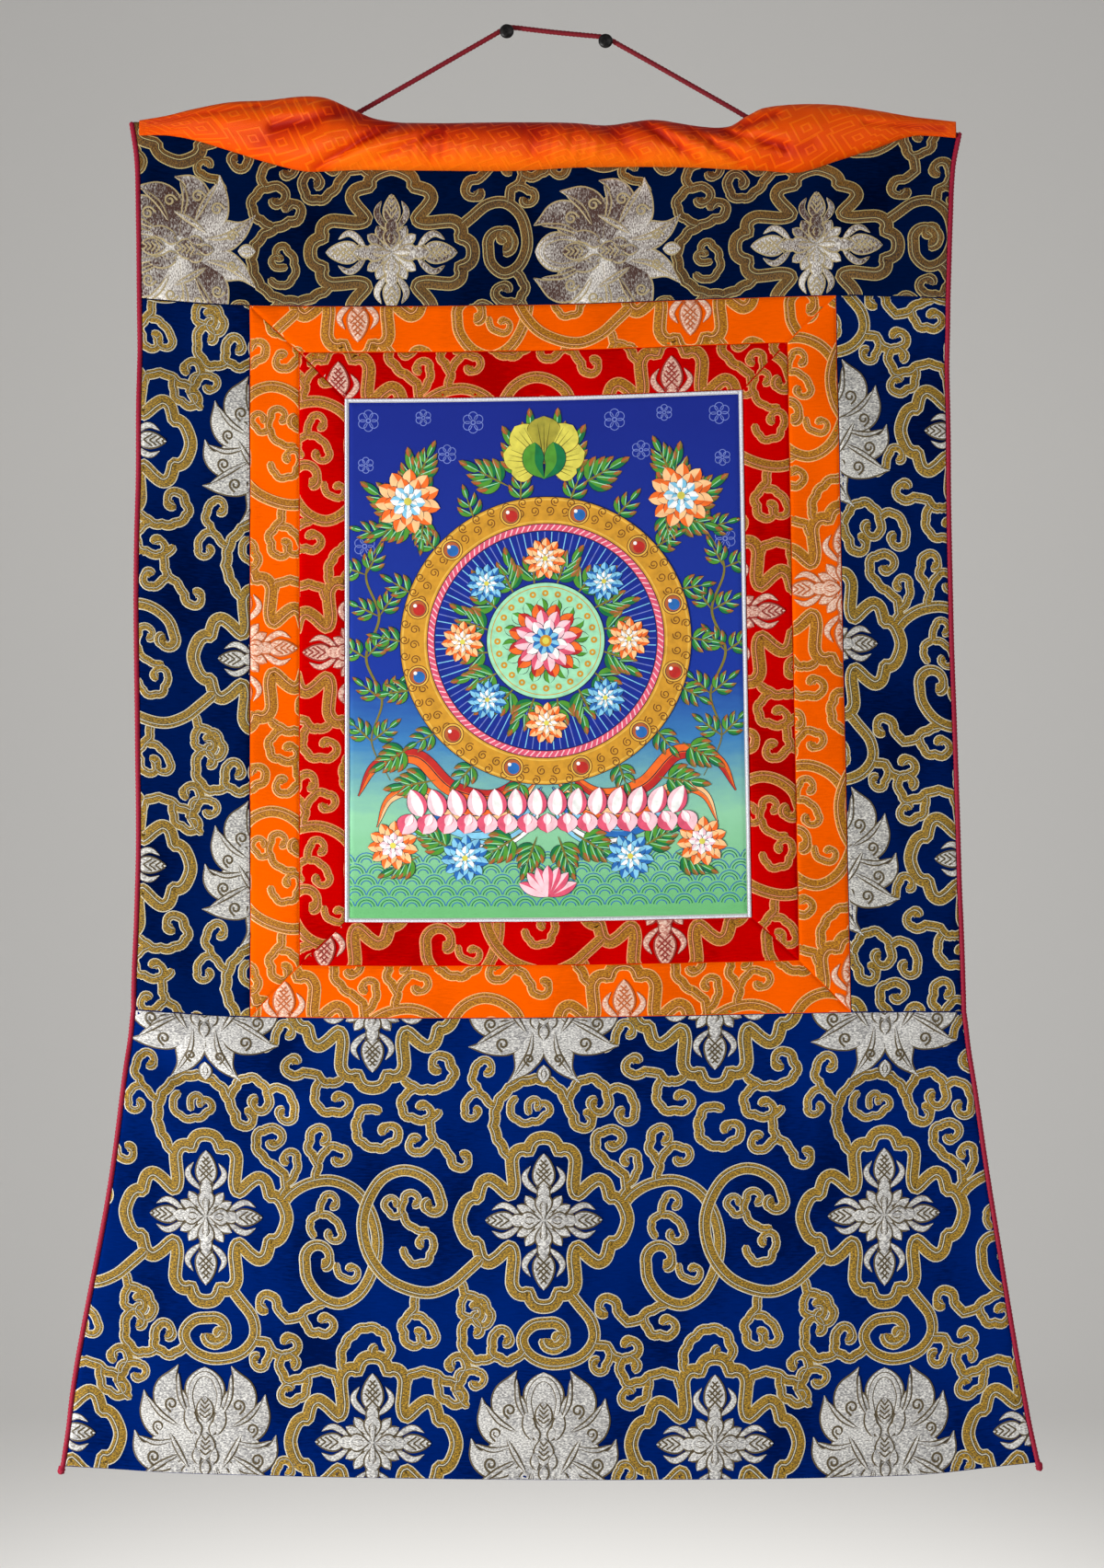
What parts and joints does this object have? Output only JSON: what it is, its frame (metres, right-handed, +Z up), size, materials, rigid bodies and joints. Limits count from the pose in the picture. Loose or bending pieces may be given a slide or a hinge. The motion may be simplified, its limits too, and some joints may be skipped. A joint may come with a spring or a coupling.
{
  "type": "thangka scroll painting hung by its cord on two wall nails",
  "caption": "Hanging scroll: a painted canvas in red, orange and navy brocade borders, a flared lower panel, a gathered silk cover and a cord over wall nails.",
  "frame": {"origin": "midway between the two nails, on the wall plane behind the scroll", "axes": "+Z up along the scroll's height, -Y out of the wall towards the viewer, +X to the viewer's right"},
  "size_m": [0.7575, 0.0313, 1.1159],
  "materials": {
    "navy_brocade": "woven silk brocade with metallic thread",
    "orange_brocade": "woven silk brocade with metallic thread",
    "red_brocade": "woven silk brocade with metallic thread",
    "painted_canvas": "matte paint on sized cotton",
    "white_cord": "twisted cord",
    "crimson_cord": "twisted cord",
    "saffron_silk": "self-figured silk satin",
    "black_nail": "semi-gloss"
  },
  "bodies": {
    "root": {"top_panel": "navy_brocade", "side_panel_left": "navy_brocade", "side_panel_right": "navy_brocade", "bottom_panel": "navy_brocade", "orange_strip_top": "orange_brocade", "orange_strip_left": "orange_brocade", "orange_strip_right": "orange_brocade", "orange_strip_bottom": "orange_brocade", "red_strip_top": "red_brocade", "red_strip_left": "red_brocade", "red_strip_right": "red_brocade", "red_strip_bottom": "red_brocade", "painting_canvas": "painted_canvas", "cord_edging_top": "white_cord", "cord_edging_left": "white_cord", "cord_edging_right": "white_cord", "cord_edging_bottom": "white_cord", "piping_left": "crimson_cord", "piping_right": "crimson_cord", "dust_cover": "saffron_silk", "hanging_cord": "crimson_cord", "nail_left": "black_nail", "nail_right": "black_nail"}
  },
  "joints": []
}
